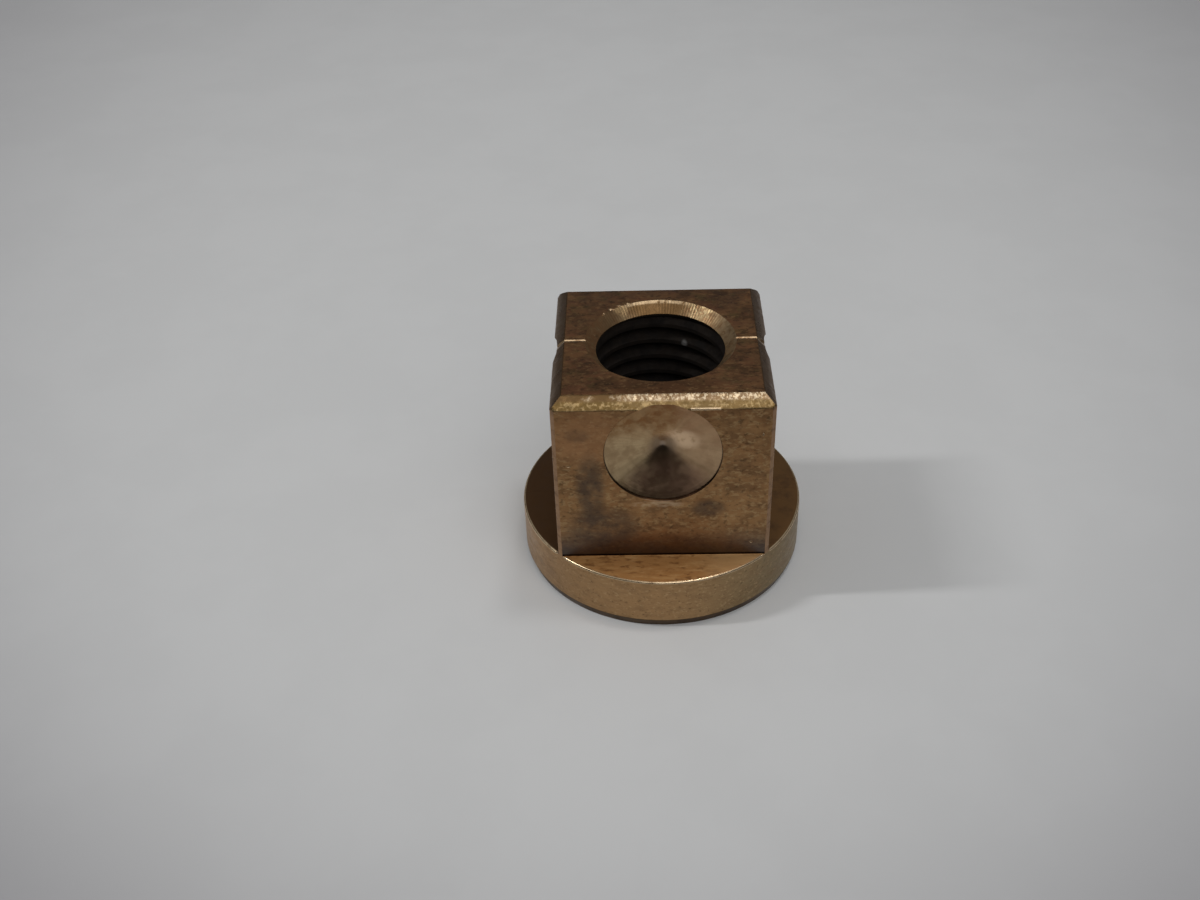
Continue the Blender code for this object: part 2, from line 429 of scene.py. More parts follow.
def flange_finish():
    """The flange's top, milled beside the block: golden in front, browner at the sides."""
    brown = (0.22, 0.13, 0.062)
    right_brown = (0.235, 0.125, 0.050)
    left_brown = (0.125, 0.064, 0.028)
    gold = (0.42, 0.205, 0.066)
    light_grain = (0.52, 0.29, 0.11)
    dark_grain = (0.24, 0.105, 0.030)
    warm = (0.60, 0.37, 0.165)
    metal = Metal("bronze_flange_top", 0.33)
    metal.paint(brown)
    metal.paint(right_brown, metal.ramp(X, 0.0150, 0.0165))
    metal.paint(left_brown, metal.ramp(X, -0.0140, -0.0165))
    metal.paint(PATINA_DARK, metal.grain((3, 3, 3), 0.45, 0.7), 0.6)
    front = metal.ramp(Y, -0.0150, -0.0160)
    metal.paint(gold, front)
    metal.paint(light_grain, front, metal.grain((2.5, 0.6, 2), 0.45, 0.7, offset=2.0))
    metal.paint(dark_grain, front, metal.grain((1.6, 0.7, 1.6), 0.52, 0.68, offset=27.0))
    metal.paint(warm, front, metal.ramp(X, 0.004, 0.0095), 0.6)
    matte = math_node(metal.tree, "MULTIPLY", front, -0.55)
    metallic = math_node(metal.tree, "ADD", matte, 1.0)
    metal.tree.links.new(metallic, metal.shader.inputs["Metallic"])
    metal.roughen(0.15, front)
    metal.smudge(0.12, (2, 2, 2))
    metal.lay((0.5, 0.5, 0.5), 0.000005, offset=5.0)
    return metal.finish()


def underside_finish():
    """The flange's underside and the bevel round it: dark brown, partly painted shade under the
    flange.
    """
    brown = (0.11, 0.07, 0.04)
    metal = Metal("bronze_underside", 0.38)
    # The dark base colour is partly painted shade under the flange.
    metal.paint(brown)
    metal.paint(GREASE_AND_SHADE, metal.grain((3, 3, 3), 0.45, 0.7), 0.7)
    metal.smudge(0.1, (2, 2, 2))
    metal.lay((0.5, 0.5, 0.5), 0.000005, offset=5.0)
    return metal.finish()


def seat_finish(name, axis):
    """A conical seat that lies across the given axis, with the rings its drill left, painted
    reflections and highlights on its cone, and painted shade below the apex and in the step round
    its wall.
    """
    tan = (0.49, 0.36, 0.205)
    brown = (0.27, 0.17, 0.09)
    rust = (0.25, 0.125, 0.045)
    dark_rust = (0.22, 0.105, 0.04)
    pink = (0.40, 0.245, 0.145)
    fan_reflection_streak = (0.22, 0.145, 0.075)
    light = (0.66, 0.47, 0.30)
    shade = (0.25, 0.155, 0.105)
    low_pink = (0.62, 0.36, 0.26)
    tip_shade = (0.185, 0.13, 0.085)
    tip_highlight = (0.32, 0.25, 0.19)
    metal = Metal(name, 0.17)
    tree = metal.tree
    across = metal.parts[axis]
    up = math_node(tree, "SUBTRACT", metal.parts[Z], SEAT_HEIGHT)
    radius, turn = polar(tree, across, up)

    def patch(centre, size):
        return spot(tree, (across, up), centre, size, 0.9)

    metal.paint(tan)
    metal.paint(brown, metal.grain((2, 2, 2), 0.42, 0.66), 0.6)
    high = metal.ramp(Z, SEAT_HEIGHT, SEAT_HEIGHT + 0.0065)
    metal.paint(rust, high, 0.7)
    metal.paint(dark_rust, high, metal.grain((1.8, 1.8, 1.8), 0.42, 0.60, offset=27.0))
    metal.paint(pink, band(tree, across, 0.0005, 0.0040), 0.55)
    # Painted reflection: streaks fanning out from the apex, for the light on the drill's rings.
    metal.paint(fan_reflection_streak, band(tree, lines(tree, turn, 7.0, 3.0), 0.42, 0.66), 0.22)
    # Painted highlight: a light patch to one side of the apex and above it.
    metal.paint(light, patch((0.0027, 0.0013), (0.0024, 0.0016)),
                metal.grain((0.8, 0.8, 0.8), 0.30, 0.52, offset=37.0))
    metal.paint(shade, patch((0.0002, -0.0016), (0.0022, 0.0028)), 0.6)
    metal.paint(low_pink, patch((0.0005, -0.0058), (0.0050, 0.0030)), 0.45)
    metal.paint(tip_shade, band(tree, radius, 0.0026, 0.0009), 0.8)
    # Painted highlight at the apex's very tip.
    metal.paint(tip_highlight, band(tree, radius, 0.0006, 0.0002), 0.6)
    # Painted shade: a dark line in the step round the seat's wall.
    metal.paint(GREASE_AND_SHADE, band(tree, radius, SEAT_RADIUS - 0.00012, SEAT_RADIUS - 0.00002), 0.85)
    metal.relief(lines(tree, radius, 5500.0, 2.0), 0.000005)
    metal.smudge(0.10, (1.5, 1.5, 1.5))
    metal.lay((0.4, 0.4, 0.4), 0.000004, offset=5.0)
    return metal.finish()


def sink_finish():
    """The countersinks: cut metal, with painted highlights at the rear right, at dents by the rim
    and along the rear lip; dirty elsewhere.
    """
    brown = (0.30, 0.20, 0.105)
    speck = (0.46, 0.34, 0.19)
    dirt = (0.085, 0.05, 0.028)
    rear_brown = (0.165, 0.092, 0.037)
    dull_brown = (0.20, 0.12, 0.06)
    left_brown = (0.25, 0.135, 0.066)
    right_tan = (0.42, 0.305, 0.18)
    bare = (0.66, 0.44, 0.22)
    glint = (0.40, 0.30, 0.165)
    lip_highlight = (0.58, 0.42, 0.25)
    metal = Metal("bronze_countersink", 0.38)
    metal.paint(brown)
    metal.paint(PATINA, metal.grain((1.2, 1.2, 1.2), 0.42, 0.66), 0.85)
    metal.paint(speck, metal.grain((0.5, 0.5, 0.8), 0.58, 0.72, offset=3.0))
    metal.paint(dirt, metal.grain((1.5, 1.5, 1.5), 0.52, 0.72, offset=21.0), 0.7)
    metal.paint(rear_brown, metal.spot(*SINK_REAR, 0.6), 0.92)
    metal.paint(dull_brown, metal.spot(*SINK_REAR_LEFT, 0.8), 0.6)
    patches = metal.grain((0.9, 0.9, 0.9), 0.30, 0.60, offset=51.0)
    left = metal.ramp(X, -0.0072, -0.0105)
    metal.paint(left_brown, left, patches)
    metal.paint(right_tan, metal.ramp(X, 0.0076, 0.0105), patches)
    # Bare metal at the dents by the rim, made lighter as a painted highlight.
    knock_highlight = metal.overlap(metal.spot(*SINK_KNOCK_HIGHLIGHT, 0.8),
                          metal.grain((0.5, 0.5, 0.5), 0.36, 0.50, offset=33.0))
    metal.paint(bare, knock_highlight)
    metal.paint(glint, metal.spot(*SINK_REAR_RIGHT, 0.8),
                metal.grain((0.45, 0.45, 0.9), 0.46, 0.58, offset=43.0))
    # Painted highlight: a light line along the countersink's upper edge at the rear.
    metal.paint(lip_highlight, metal.ramp(Z, HEIGHT - 0.00045, HEIGHT - 0.0002),
                metal.spot(*SINK_REAR_LIP, 0.5),
                metal.grain((0.9, 0.9, 0.9), 0.32, 0.52, offset=61.0))
    metal.roughen(-0.14, knock_highlight)
    metal.roughen(0.28, left)
    metal.smudge(0.12, (0.8, 0.8, 0.8))
    metal.lay((0.3, 0.3, 0.3), 0.000006, offset=5.0)
    return metal.finish()


def thread_finish():
    """The thread: near black cut bronze, darker in patches, with one painted glint."""
    black = (0.014, 0.010, 0.0075)
    blacker = (0.008, 0.006, 0.005)
    bare = (0.13, 0.125, 0.12)
    brown = (0.05, 0.032, 0.018)
    metal = Metal("bronze_thread", 0.75, metallic=0.0)
    metal.paint(black)
    metal.paint(blacker, metal.grain((2, 2, 2), 0.40, 0.65))
    # Painted highlight: one light glint on the thread.
    metal.paint(bare, metal.spot(*THREAD_GLINT, 0.9))
    metal.paint(brown, metal.ramp(Z, HEIGHT - 0.0021, HEIGHT - 0.0014))
    metal.smudge(0.15, (0.8, 0.8, 0.8))
    metal.lay((0.3, 0.3, 0.3), 0.00001, offset=5.0)
    metal.shader.inputs["Specular IOR Level"].default_value = 0.15
    return metal.finish()


def parting_finish():
    """The faces where the halves meet: milled, and cleaner than the outside."""
    clean = (0.52, 0.33, 0.16)
    metal = Metal("bronze_parting_face", 0.30)
    metal.paint(clean)
    metal.paint(PATINA, metal.grain((4, 4, 3), 0.5, 0.72), 0.5)
    metal.smudge(0.12, (2, 2, 1))
    metal.lay((9, 9, 0.12), 0.000004)
    return metal.finish()


def edge_finish():
    """Rubbed edges and nicks: bare bronze."""
    bare = (0.50, 0.36, 0.22)
    metal = Metal("bronze_worn_edge", 0.32)
    metal.paint(bare)
    metal.paint(PATINA, metal.grain((0.8, 0.8, 0.8), 0.42, 0.66), 0.85)
    metal.lay((0.2, 0.2, 0.2), 0.000006)
    return metal.finish()


def rubbed_and_highlight_finish():
    """Edges rubbed bright, and lighter still as a painted highlight: the flange's top edge and the
    burr under the front chamfer.
    """
    bright = (0.66, 0.50, 0.32)
    metal = Metal("bronze_rubbed_edge_highlight", 0.26)
    metal.paint(bright)
    metal.paint(PATINA, metal.grain((1.5, 1.5, 1.5), 0.50, 0.75), 0.7)
    metal.lay((0.25, 0.25, 0.25), 0.000003)
    return metal.finish()


def pin_finish():
    """Ground steel with fine marks round it and a trace of oil."""
    steel = (0.56, 0.55, 0.53)
    oil = (0.36, 0.33, 0.30)
    metal = Metal("steel_dowel_pin", 0.24)
    metal.paint(steel)
    metal.paint(oil, metal.grain((2, 3, 2), 0.5, 0.75), 0.6)
    metal.smudge(0.12, (1, 2, 1))
    metal.lay((6, 0.08, 6), 0.000003)
    return metal.finish()


def floor_finish():
    """Plain pale paper, with a painted pool of light round the nut that narrows towards the
    camera, and painted shade making it darker away from the nut.
    """
    grey = (0.36, 0.355, 0.37)
    pale = (0.725, 0.73, 0.73)
    fibre = (0.98, 0.98, 0.98)
    metal = Metal("pale_floor", 0.85, metallic=0.0)
    tree = metal.tree
    metal.paint(grey)
    depth = math_node(tree, "ADD", math_node(tree, "MULTIPLY", metal.parts[Y], 3.6), 1.0)
    across, along = [math_node(tree, "DIVIDE", metal.parts[axis], depth) for axis in (X, Y)]
    # Painted pool of light: paler inside an ellipse round the nut.
    metal.paint(pale, spot(tree, (across, along), (-0.010, 0.030), (0.121, 0.151), 0.89))
    metal.paint(fibre, metal.grain((25, 25, 25), 0.4, 0.6), mode="MULTIPLY")
    metal.roughen(0.05, metal.grain((20, 20, 20), 0.4, 0.6))
    metal.shader.inputs["Specular IOR Level"].default_value = 0.2
    return metal.finish()


# ------------------------------------------------------------- geometry

def wobble(seed, *place):
    """Smooth noise from -1 to 1 that is the same on every run."""
    spread = list(place) + [0.0] * (3 - len(place))
    return noise.noise(Vector(spread) + Vector((seed * 17.3, seed * 5.7, seed * 29.1)))


def link(thing):
    """Put an object in the scene."""
    bpy.context.scene.collection.objects.link(thing)
    return thing


def add_object(name, shape, materials):
    """Turn a bmesh into an object."""
    bmesh.ops.recalc_face_normals(shape, faces=shape.faces)
    mesh = bpy.data.meshes.new(name)
    shape.to_mesh(mesh)
    shape.free()
    for material in materials:
        mesh.materials.append(material)
    return link(bpy.data.objects.new(name, mesh))


def stack(rings, kinds=None, caps=(0, 0)):
    """A closed solid from rings of points, with a material number for each band and both caps."""
    shape = bmesh.new()
    grid = [[shape.verts.new(point) for point in ring] for ring in rings]
    count = len(grid[0])
    for row, (lower, upper) in enumerate(zip(grid, grid[1:])):
        for i in range(count):
            j = (i + 1) % count
            face = shape.faces.new((lower[i], lower[j], upper[j], upper[i]))
            face.material_index = kinds[row] if kinds else 0
    shape.faces.new(reversed(grid[0])).material_index = caps[0]
    shape.faces.new(grid[-1]).material_index = caps[1]
    return shape


def circle(radius, height, sides):
    """Points round the Z axis, turned by part of a step so that none lies on an axis."""
    part = 0.31
    angles = [2 * math.pi * (i + part) / sides for i in range(sides)]
    return [Vector((radius * math.cos(a), radius * math.sin(a), height)) for a in angles]


def smooth_min(a, b, width):
    """The smaller of two values, with a rounded changeover."""
    share = max(width - abs(a - b), 0.0) / width
    return min(a, b) - share * share * width / 4


# The body's rings have even steps along each flat, out to FLAT_END from its middle.
FLAT_END = 0.0149
FLAT_STEPS = 200
CORNER_STEPS = 36


def ring_angles():
    """Angles for the body's rings: even steps along each flat, close steps at each corner."""
    quarter = [math.atan2(-FLAT_END + 2 * FLAT_END * i / FLAT_STEPS, HALF)
               for i in range(FLAT_STEPS)]
    start = math.atan2(FLAT_END, HALF)
    span = math.pi / 2 - 2 * start
    quarter += [start + span * i / CORNER_STEPS for i in range(CORNER_STEPS)]
    return [angle + side * math.pi / 2 for side in range(4) for angle in quarter]


def block_radius(angle, half):
    """Radius of the milled square at an angle, where the round bar allows it."""
    square = half / max(abs(math.cos(angle)), abs(math.sin(angle)))
    return smooth_min(square, BAR_RADIUS, CORNER_BLEND)


def along_flat(angle):
    """(side, distance along that side from its middle) of a point at an angle."""
    side = math.floor((angle + math.pi / 4) / (math.pi / 2))
    return side, HALF * math.tan(angle - side * math.pi / 2)


def snap(value):
    """Put a coordinate that lies on a flat exactly on it."""
    near = 0.000001
    return math.copysign(HALF, value) if abs(abs(value) - HALF) < near else value


def ring(angles, radius, height):
    """One ring of points; radius and height are functions of the angle."""
    return [Vector((snap(radius(a) * math.cos(a)), snap(radius(a) * math.sin(a)), height(a)))
            for a in angles]


def chatter(angle, climb):
    """How far the cutter's chatter lifts the chamfer, along and up it."""
    side, along = along_flat(angle)
    lift = sum(height * wobble(side + seed, along / length, climb * waves)
               for seed, length, waves, height in CHATTER)
    return lift * min(1.0, 7 * climb, 7 * (1 - climb))


def lip(angle):
    """How far metal is pushed out along the chamfer's lower edge, with the burr in front."""
    side, along = along_flat(angle)
    front = -1
    ridge = BURR_HEIGHT if side == front and BURR[0] < along < BURR[1] else 0.0
    return LIP_HEIGHT + LIP_RISE * max(0.0, wobble(side + 21, along / LIP_WAVE)) + ridge


# The body's materials, in the order of its slots.
UNDERSIDE, RIM, FLANGE, FLAT, BEVEL, TOP, STRIP, RUBBED_HIGHLIGHT = range(8)


def flange_rings(add, angles):
    """The base bevel, the rim with its broken edge, and the flange's top with its inner fillet."""
    gaps = {a: BAR_RADIUS - block_radius(a, HALF) for a in angles}

    def rim_break(a):
        return min(RIM_BREAK, 0.5 * gaps[a])

    def fillet(a):
        return min(INNER_FILLET, 0.25 * gaps[a])

    soft = 0.00006
    for inset, height in ((BASE_BEVEL_INSET, 0.0), (0.00002, BASE_BEVEL_HEIGHT - soft),
                          (0.000005, BASE_BEVEL_HEIGHT), (0.0, BASE_BEVEL_HEIGHT + soft)):
        add(UNDERSIDE, lambda a: BAR_RADIUS - inset, lambda a: height)
    rim_steps = 5
    for step in range(1, rim_steps + 1):
        rise = FLANGE_TOP - RIM_BREAK - BASE_BEVEL_HEIGHT
        height = BASE_BEVEL_HEIGHT + rise * step / rim_steps
        add(RIM, lambda a: BAR_RADIUS, lambda a: height)
    for turn in range(5):
        phi = math.radians(22.5 * turn)
        add(RUBBED_HIGHLIGHT if turn else RIM, lambda a: BAR_RADIUS - rim_break(a) * (1 - math.cos(phi)),
            lambda a: FLANGE_TOP - rim_break(a) * (1 - math.sin(phi)))
    top_steps = 4
    for step in range(1, top_steps + 1):
        share = step / top_steps
        add(FLANGE, lambda a: (BAR_RADIUS - rim_break(a)) * (1 - share)
            + (block_radius(a, HALF) + fillet(a)) * share, lambda a: FLANGE_TOP)
    for turn in range(1, 4):
        phi = math.radians(30 * turn)
        add(FLANGE, lambda a: block_radius(a, HALF) + fillet(a) * (1 - math.sin(phi)),
            lambda a: FLANGE_TOP + fillet(a) * (1 - math.cos(phi)))


def block_rings(add):
    """The flats, the lip at their upper edge, and the crowned chamfer."""
    flat_steps = 24
    for step in range(1, flat_steps + 1):
        rise = CHAMFER_FOOT - LIP_START - FLANGE_TOP
        height = FLANGE_TOP + INNER_FILLET + rise * step / flat_steps
        add(FLAT, lambda a: block_radius(a, HALF), lambda a: height)
    for share, below in ((0.5, 0.00012), (1.0, 0.00002)):
        add(FLAT, lambda a: block_radius(a, HALF + share * lip(a)), lambda a: CHAMFER_FOOT - below)
    chamfer_steps = 10
    for step in range(chamfer_steps + 1):
        climb = 0.01 + 0.97 * step / chamfer_steps
        crown = CHAMFER_CROWN * math.sin(math.pi * climb)
        add(BEVEL, lambda a: block_radius(a, HALF + lip(a) * (1 - climb) - climb * CHAMFER
                                          + SLANT * (crown + chatter(a, climb))),
            lambda a: CHAMFER_FOOT + climb * CHAMFER
            + SLANT * (crown + chatter(a, climb)) * (1 - climb))
    for inset, below in ((0.000005, 0.000008), (0.00004, 0.0)):
        add(BEVEL, lambda a: block_radius(a, HALF - CHAMFER - inset), lambda a: HEIGHT - below)


def make_body(materials):
    """The bar, milled to a chamfered block on a flange."""
    angles = ring_angles()
    rings = []
    kinds = []

    def add(kind, radius, height):
        rings.append(ring(angles, radius, height))
        kinds.append(kind)

    flange_rings(add, angles)
    block_rings(add)
    shape = stack(rings, kinds[1:], caps=(UNDERSIDE, TOP))
    strip_reach = BAR_RADIUS - 0.00003
    burr_reach = 0.00015
    for face in shape.faces:
        middle = face.calc_center_median()
        if face.material_index == FLAT and math.hypot(middle.x, middle.y) > strip_reach:
            face.material_index = STRIP
        on_burr = middle.y < 0 and BURR[0] < middle.x < BURR[1]
        # The burr's faces take the rubbed finish, partly as a painted highlight.
        if face.material_index in (FLAT, BEVEL) and on_burr:
            if abs(middle.z - CHAMFER_FOOT) < burr_reach:
                face.material_index = RUBBED_HIGHLIGHT
    bmesh.ops.remove_doubles(shape, verts=shape.verts, dist=RING_WELD)
    return add_object("nut_body", shape, materials)


def make_seat_cutter(index, material):
    """The drill that sinks one conical seat, with the faint steps it leaves."""
    sides = 192
    mouth = SEAT_RADIUS + SEAT_FLARE
    outline = [(mouth, -HALF - OVERRUN), (mouth, -HALF), (SEAT_RADIUS, -HALF + 0.00006),
               (SEAT_RADIUS, -HALF + SEAT_WALL - 0.00005)]
    steps = 28
    centre = 0.00035
    for step in range(1, steps):
        share = step / steps
        radius = SEAT_RADIUS - SEAT_LEDGE + (centre - SEAT_RADIUS) * share
        depth = SEAT_WALL + (SEAT_DEPTH - SEAT_WALL) * share
        outline.append((radius, -HALF + depth + SEAT_RIPPLE * wobble(40, share * 9.0)))
    outline.append((SEAT_TIP, -HALF + SEAT_DEPTH))
    turn = Matrix.Rotation(index * math.pi / 2, 4, "Z")
    place = turn @ Matrix.Translation((0, 0, SEAT_HEIGHT)) @ Matrix.Rotation(-math.pi / 2, 4, "X")
    shape = stack([[place @ point for point in circle(radius, height, sides)]
                   for radius, height in outline])
    return add_object(f"seat_cutter_{index}", shape, [material])


def make_sink_cutter(name, face, direction, material):
    """The countersink's cone, ribbed by chatter."""
    sides = 864
    steps = 12
    inner = THREAD_MAJOR - 2 * THREAD_DEPTH
    rings = []
    for step in range(steps + 1):
        radius = inner + (SINK_RADIUS + OVERRUN - inner) * step / steps
        height = face + direction * (radius - SINK_RADIUS)
        points = []
        for i in range(sides):
            angle = 2 * math.pi * i / sides
            east = math.cos(angle)
            north = math.sin(angle)
            ribs = math.sin(angle * SINK_RIBS + 3 * wobble(51, east, north))
            strength = 0.5 + 0.5 * wobble(52, 2 * east, 2 * north)
            lift = SINK_RIB_HEIGHT * ribs * strength
            lift += SINK_WAVER * wobble(53, 12 * east, 12 * north)
            points.append(Vector(((radius + lift) * east, (radius + lift) * north, height)))
        rings.append(points)
    if direction < 0:
        rings.reverse()
    return add_object(name, stack(rings), [material])


def thread_profile():
    """One pitch of the tap's outline as (radius, height), with softened corners."""
    minor = THREAD_MAJOR - THREAD_DEPTH
    root = THREAD_PITCH / 8
    crest = THREAD_PITCH / 4
    flank = (THREAD_PITCH - root - crest) / 2
    soft = 0.00006
    before = soft * 0.58
    after = soft * 0.6
    return [
        (THREAD_MAJOR, 0.0),
        (THREAD_MAJOR, root),
        (minor + soft, root + flank - before),
        (minor, root + flank + after),
        (minor, root + flank + crest - after),
        (minor + soft, root + flank + crest + before),
    ]


def run_out(radius, height):
    """A radius of the tap's outline, drawn in where the groove fades below the top face."""
    minor = THREAD_MAJOR - THREAD_DEPTH
    share = (HEIGHT - RUN_OUT_END - height) / RUN_OUT_LENGTH
    return minor + (radius - minor) * min(1.0, max(RUN_OUT_LEAST, share))


def make_tap(material):
    """The right-hand screw that cuts the thread."""
    profile = thread_profile()
    turns = math.ceil((HEIGHT + 2 * OVERRUN) / THREAD_PITCH) + 2
    stations = turns * THREAD_SIDES
    start = -OVERRUN - THREAD_PITCH
    shape = bmesh.new()
    strands = []
    for station in range(stations + THREAD_SIDES + 1):
        climb = start + THREAD_PITCH * station / THREAD_SIDES
        angle = THREAD_START + (station % THREAD_SIDES) * 2 * math.pi / THREAD_SIDES
        strands.append([shape.verts.new((run_out(r, climb + h) * math.cos(angle),
                                         run_out(r, climb + h) * math.sin(angle), climb + h))
                        for r, h in profile])
    for station in range(stations):
        column = strands[station] + [strands[station + THREAD_SIDES][0]]
        ahead = strands[station + 1] + [strands[station + THREAD_SIDES + 1][0]]
        for k in range(len(profile)):
            shape.faces.new((column[k], ahead[k], ahead[k + 1], column[k + 1]))
    for first in (0, stations):
        turn = [strand[0] for strand in strands[first:first + THREAD_SIDES + 1]]
        centre = shape.verts.new((0, 0, sum(vertex.co.z for vertex in turn) / len(turn)))
        seam = strands[first] + [turn[-1]]
        for edge in list(zip(turn, turn[1:])) + list(zip(seam, seam[1:])):
            shape.faces.new((*edge, centre))
    loose = [vertex for vertex in shape.verts if not vertex.link_faces]
    bmesh.ops.delete(shape, geom=loose, context="VERTS")
    return add_object("tap", shape, [material])


def make_rod(name, x, radius, length, material):
    """A pin, or the drill for its hole, along Y."""
    sides = 96
    end = length / 2
    outline = [(radius - PIN_BREAK, -end), (radius - 0.3 * PIN_BREAK, -end + 0.4 * PIN_BREAK),
               (radius, -end + PIN_BREAK), (radius, end - PIN_BREAK),
               (radius - 0.3 * PIN_BREAK, end - 0.4 * PIN_BREAK), (radius - PIN_BREAK, end)]
    place = Matrix.Translation((x, 0, PIN_HEIGHT)) @ Matrix.Rotation(-math.pi / 2, 4, "X")
    shape = stack([[place @ point for point in circle(r, h, sides)] for r, h in outline])
    return add_object(name, shape, [material])


def make_edge_cutter(material):
    """Breaks both edges of the parting line, across the top face and down the chamfers.

    Its section is a notch, as (y, height above the surface), with its point just off the plane.
    """
    section = [(-0.0010, 0.00011), (0.000003, -0.00009), (0.000003, -0.00019),
               (0.00120, 0.00101), (-0.0010, 0.00101)]
    inner = HALF - CHAMFER
    beyond = 0.001
    path = [(-HALF - beyond, CHAMFER_FOOT - beyond), (-inner, HEIGHT), (inner, HEIGHT),
            (HALF + beyond, CHAMFER_FOOT - beyond)]
    shape = stack([[Vector((x, y, z + lift)) for y, lift in section] for x, z in path])
    return add_object("parting_edge_cutter", shape, [material])


# Dents: centre and reach along X, Y and Z, in millimetres.
DENTS = (
    ((-7.31, 8.63, 37.53), (0.55, 0.34, 0.33)),
    ((-6.12, 9.67, 37.52), (0.47, 0.27, 0.27)),
    ((-8.47, 7.41, 37.51), (0.27, 0.36, 0.26)),
    ((-4.83, 10.32, 37.50), (0.31, 0.20, 0.21)),
    ((13.07, -15.93, 11.43), (0.31, 0.20, 0.24)),
    ((-13.57, -15.92, 26.03), (0.38, 0.11, 0.13)),
    ((14.13, -15.92, 31.37), (0.16, 0.13, 0.31)),
    ((4.03, 15.92, 20.07), (0.45, 0.14, 0.15)),
    ((15.92, 6.07, 14.03), (0.13, 0.37, 0.16)),
    ((-15.93, -7.07, 16.17), (0.14, 0.26, 0.23)),
)


def make_dents(material):
    """Small rough pits from knocks: lumpy balls pressed into the surface."""
    lumps = 0.22
    shape = bmesh.new()
    for number, (centre, reach) in enumerate(DENTS):
        ball = bmesh.ops.create_icosphere(shape, subdivisions=3, radius=1.0)["verts"]
        for vertex in ball:
            push = 1.0 + lumps * wobble(60 + number, *(vertex.co * 1.7))
            vertex.co = Vector([(c + v * push * r) * MM
                                for c, v, r in zip(centre, vertex.co, reach)])
    return add_object("dents", shape, [material])


def make_parting_box(name, side, material):
    """Everything on one side of the parting plane, and half of the gap."""
    near = -PARTING_GAP / 2
    outline = [(-REACH, near), (REACH, near), (REACH, REACH), (-REACH, REACH)]
    shape = stack([[Vector((x, side * y, z)) for x, y in outline]
                   for z in (-OVERRUN, HEIGHT + OVERRUN)])
    return add_object(name, shape, [material])


def carve(thing, cutters):
    """Cut an object with closed cutters, which hand their materials to what they cut."""
    for cutter in cutters:
        modifier = thing.modifiers.new(cutter.name, "BOOLEAN")
        modifier.operation = "DIFFERENCE"
        modifier.solver = "EXACT"
        modifier.material_mode = "TRANSFER"
        modifier.object = cutter
    bpy.context.view_layer.update()
    graph = bpy.context.evaluated_depsgraph_get()
    mesh = bpy.data.meshes.new_from_object(thing.evaluated_get(graph))
    thing.modifiers.clear()
    shape = bmesh.new()
    shape.from_mesh(mesh)
    bmesh.ops.remove_doubles(shape, verts=shape.verts, dist=CUT_WELD)
    shape.to_mesh(mesh)
    shape.free()
    thing.data = mesh


def soften(thing):
    """Shade smooth between sharp edges."""
    thing.data.shade_smooth()
    thing.data.set_sharp_from_angle(angle=SMOOTH_ANGLE)
    return thing


def make_cutters():
    """Everything that cuts the body, in the order of the cuts: the dents come first."""
    worn = edge_finish()
    seats = (seat_finish("bronze_seat_front_rear", X), seat_finish("bronze_seat_side", Y))
    sink = sink_finish()
    parting = parting_finish()
    cutters = [make_dents(worn), make_tap(thread_finish()),
               make_sink_cutter("countersink_top", HEIGHT, 1, sink),
               make_sink_cutter("countersink_bottom", 0.0, -1, sink)]
    cutters += [make_seat_cutter(index, seats[index % 2]) for index in range(4)]
    cutters += [make_rod(f"pin_hole_{label}", side * PIN_SPACING / 2, PIN_RADIUS + PIN_HOLE_PLAY,
                         PIN_LENGTH + PIN_END_PLAY, parting)
                for label, side in (("left", -1), ("right", 1))]
    cutters.append(make_edge_cutter(worn))
    return cutters, parting


def make_halves():
    """The body, cut and parted into the front and rear halves."""
    body = make_body([underside_finish(), rim_finish(), flange_finish(), milled_side(),
                      chamfer_finish(), milled_top(), strip_finish(), rubbed_and_highlight_finish()])
    cutters, parting = make_cutters()
    carve(body, cutters)
    halves = []
    for name, side in (("nut_half_front_machined", 1), ("nut_half_rear_machined", -1)):
        half = link(bpy.data.objects.new(name, body.data.copy()))
        box = make_parting_box(f"parting_box_{name}", side, parting)
        carve(half, [box])
        cutters.append(box)
        halves.append(soften(half))
    for thing in cutters + [body]:
        bpy.data.objects.remove(thing, do_unlink=True)
    return halves


def make_pins():
    """The two dowel pins."""
    steel = pin_finish()
    return [soften(make_rod(f"dowel_pin_{label}_ground", side * PIN_SPACING / 2, PIN_RADIUS,
                            PIN_LENGTH, steel))
            for label, side in (("left", -1), ("right", 1))]


# ------------------------------------------------------ light and camera

CAMERA_AT = (-0.003359, -0.167329, 0.143309)
CAMERA_AIM = (-0.009558, 0.0, 0.017056)
CAMERA_ROLL = -2.146
LENS = 40.03
SENSOR_WIDTH = 36.0

# Softboxes, all aimed at the nut: name, direction, distance, size and power.
LIGHTS = (
    ("softbox_front", (0.18, -0.60, 0.77), 1.0, (0.7, 0.62), 2.35),
    ("softbox_top", (0.22, 0.08, 0.97), 1.0, (0.14, 0.14), 1.0),
    ("strip_left", (-0.682, -0.045, 0.731), 1.2, (0.063, 0.30), 2.8),
)
LIGHT_AIM = (0.0, 0.0, 0.02)

# The room's brightness by height on the sky, from the horizon to overhead.
ROOM_LEVELS = ((0.0, 0.06), (0.25, 0.11), (0.6, 0.23), (1.0, 0.33))

FLOOR_RADIUS = 2.0
FLOOR_DROP = 0.00002

CARD_DISTANCE = 0.088
CARD_HALF_WIDTH = 0.2
CARD_HEIGHT = 0.045


def aim(thing, at, target, roll=0.0):
    """Place a camera or light, turned towards a target."""
    turn = (target - at).to_track_quat("-Z", "Y") @ Quaternion((0, 0, 1), math.radians(roll))
    thing.matrix_world = Matrix.Translation(at) @ turn.to_matrix().to_4x4()


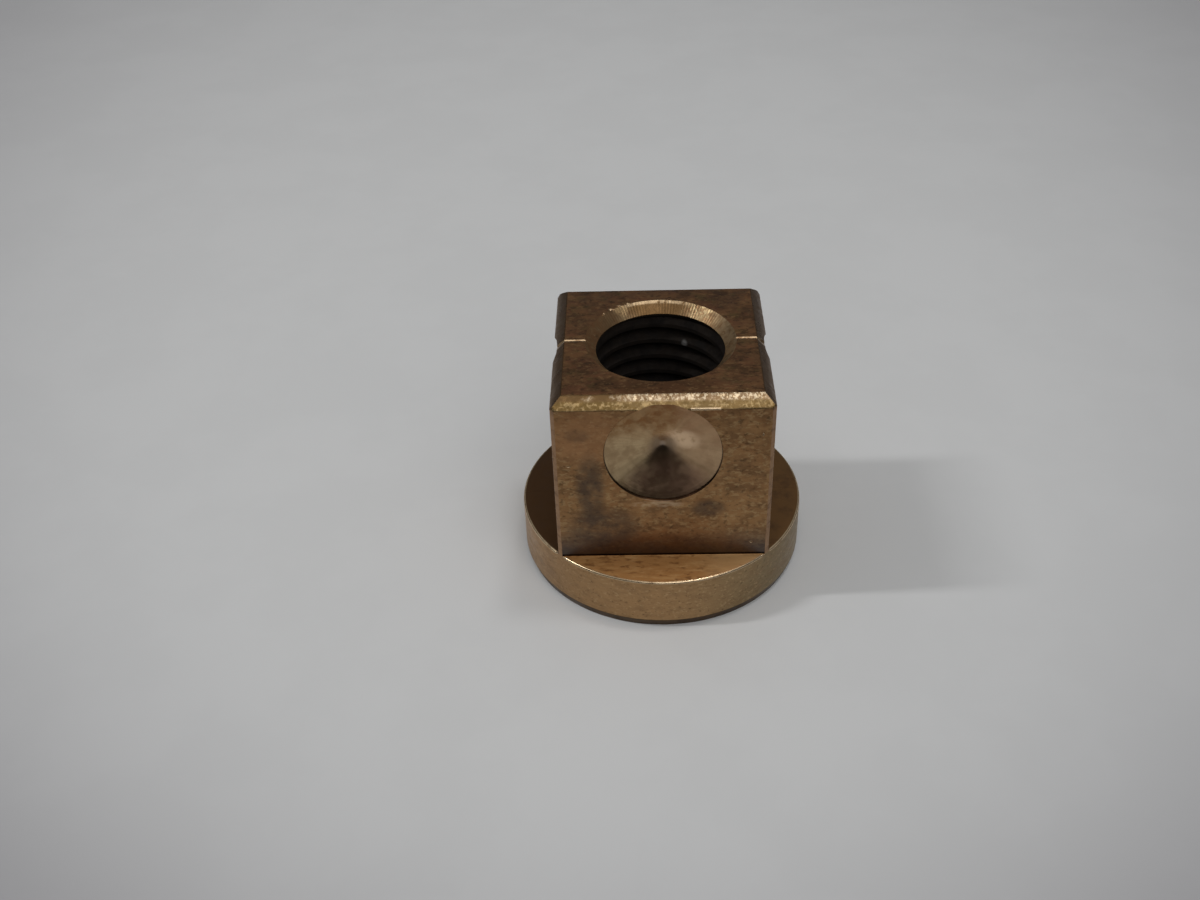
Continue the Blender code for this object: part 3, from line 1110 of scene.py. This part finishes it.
def make_camera():
    """The photo's viewpoint."""
    data = bpy.data.cameras.new("camera")
    data.lens = LENS
    data.sensor_width = SENSOR_WIDTH
    data.clip_start = 0.005
    thing = link(bpy.data.objects.new("camera", data))
    aim(thing, Vector(CAMERA_AT), Vector(CAMERA_AIM), CAMERA_ROLL)
    bpy.context.scene.camera = thing


def make_light(name, direction, distance, size, power):
    """A rectangular softbox that faces the nut."""
    data = bpy.data.lights.new(name, "AREA")
    data.shape = "RECTANGLE"
    data.size, data.size_y = size
    data.energy = power
    thing = link(bpy.data.objects.new(name, data))
    target = Vector(LIGHT_AIM)
    aim(thing, target + Vector(direction).normalized() * distance, target)


def make_world():
    """A dim room: dark at the horizon, lighter overhead."""
    world = bpy.data.worlds.new("room")
    world.use_nodes = True
    tree = world.node_tree
    place = node(tree, "ShaderNodeTexCoord")
    split = node(tree, "ShaderNodeSeparateXYZ", {0: place.outputs["Generated"]})
    ramp = node(tree, "ShaderNodeValToRGB", {0: split.outputs[2]})
    while len(ramp.color_ramp.elements) < len(ROOM_LEVELS):
        ramp.color_ramp.elements.new(0.5)
    for element, (at, level) in zip(ramp.color_ramp.elements, ROOM_LEVELS):
        element.position = at
        element.color = (level, level, level, 1.0)
    tree.links.new(ramp.outputs[0], tree.nodes["Background"].inputs["Color"])
    bpy.context.scene.world = world


def make_floor():
    """A wide pale disc under the nut."""
    shape = bmesh.new()
    bmesh.ops.create_circle(shape, cap_ends=True, segments=128, radius=FLOOR_RADIUS)
    floor = add_object("floor", shape, [floor_finish()])
    floor.location.z = -FLOOR_DROP


def make_card():
    """A dark card low in front, where the photographer stood: a stand-in for shade there, which
    shows only in reflections.
    """
    charcoal = (0.12, 0.11, 0.10)
    outline = ((-1, 0), (1, 0), (1, 1), (-1, 1))
    shape = bmesh.new()
    shape.faces.new([shape.verts.new((x * CARD_HALF_WIDTH, -CARD_DISTANCE, z * CARD_HEIGHT))
                     for x, z in outline])
    finish = Metal("black_card", 0.9, metallic=0.0)
    finish.paint(charcoal)
    card = add_object("flag", shape, [finish.finish()])
    card.visible_camera = False
    card.visible_shadow = False
    card.visible_diffuse = False


def make_studio():
    """Floor, room, lights and camera."""
    make_floor()
    make_world()
    for light in LIGHTS:
        make_light(*light)
    make_card()
    make_camera()
    bpy.context.scene.view_settings.view_transform = "Standard"


def main():
    """The nut on the CAD frame, in its studio."""
    front, rear = make_halves()
    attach(front, "front_half")
    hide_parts("nut_half_front")
    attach(rear, "rear_half")
    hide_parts("nut_half_rear")
    for pin, cad_node in zip(make_pins(), ("dowel_pin_left", "dowel_pin_right")):
        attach(pin, "rear_half")
        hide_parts(cad_node)
    make_studio()


main()
